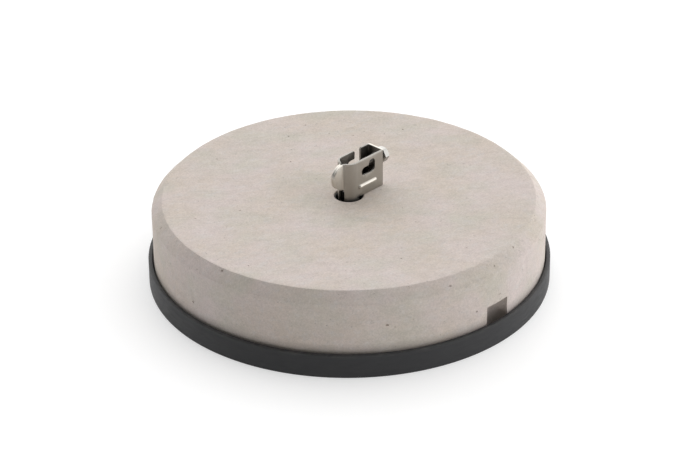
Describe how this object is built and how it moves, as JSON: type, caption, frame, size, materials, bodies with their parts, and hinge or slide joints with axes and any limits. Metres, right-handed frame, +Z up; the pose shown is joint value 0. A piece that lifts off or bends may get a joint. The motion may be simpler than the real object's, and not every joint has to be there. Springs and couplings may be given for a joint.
{
  "type": "rod ballast base",
  "caption": "Round concrete ballast block in a black edge tray, with a folded steel clamp in its centre hole that holds an upright 16 mm rod and a conductor crossing it.",
  "frame": {"origin": "centre of the face that the tray rests on", "axes": "+Z up along the rod; +X from the rod to the clamp bolt's head; +Y from the clamp's plate with the closed slot to the plate with the open slot"},
  "size_m": [0.3749, 0.375, 0.1177],
  "materials": {
    "tray_plastic": "matte",
    "concrete": "matte",
    "sleeve_plastic": "matte",
    "collar_nylon": "matte",
    "sheet_steel": "satin",
    "bolt_steel": "satin"
  },
  "bodies": {
    "tray": {"edge_tray": "tray_plastic"},
    "block": {"concrete_block": "concrete", "centre_sleeve": "sleeve_plastic", "sleeve_cap": "sleeve_plastic"},
    "collar": {"collar_half_front": "collar_nylon", "collar_half_back": "collar_nylon", "collar_band": "bolt_steel"},
    "clamp": {"clamp_body": "sheet_steel"},
    "shoe": {"pressure_shoe": "sheet_steel"},
    "bolt": {"clamp_bolt": "bolt_steel", "shoe_clip": "bolt_steel"}
  },
  "joints": [
    {"name": "block_lift", "type": "slide", "parent": "tray", "child": "block", "axis": [0, 0, 1], "range_m": [0, 0.03]},
    {"name": "clamp_lift", "type": "slide", "parent": "block", "child": "collar", "axis": [0, 0, 1], "range_m": [0, 0.08]},
    {"name": "clamp_swivel", "type": "hinge", "parent": "collar", "child": "clamp", "pos_m": [0, 0, 0.03], "axis": [0, 0, 1], "continuous": true},
    {"name": "shoe_slide", "type": "slide", "parent": "clamp", "child": "shoe", "axis": [-1, 0, 0], "range_m": [-0.0041, 0.0051]},
    {"name": "bolt_turn", "type": "hinge", "parent": "shoe", "child": "bolt", "pos_m": [0.03, 0, 0.1064], "axis": [-1, 0, 0], "range_deg": [-1152, 1440]}
  ],
  "couplings": [
    {"joint": "shoe_slide", "follows": "bolt_turn", "m_per_rad": 0.00019894}
  ]
}
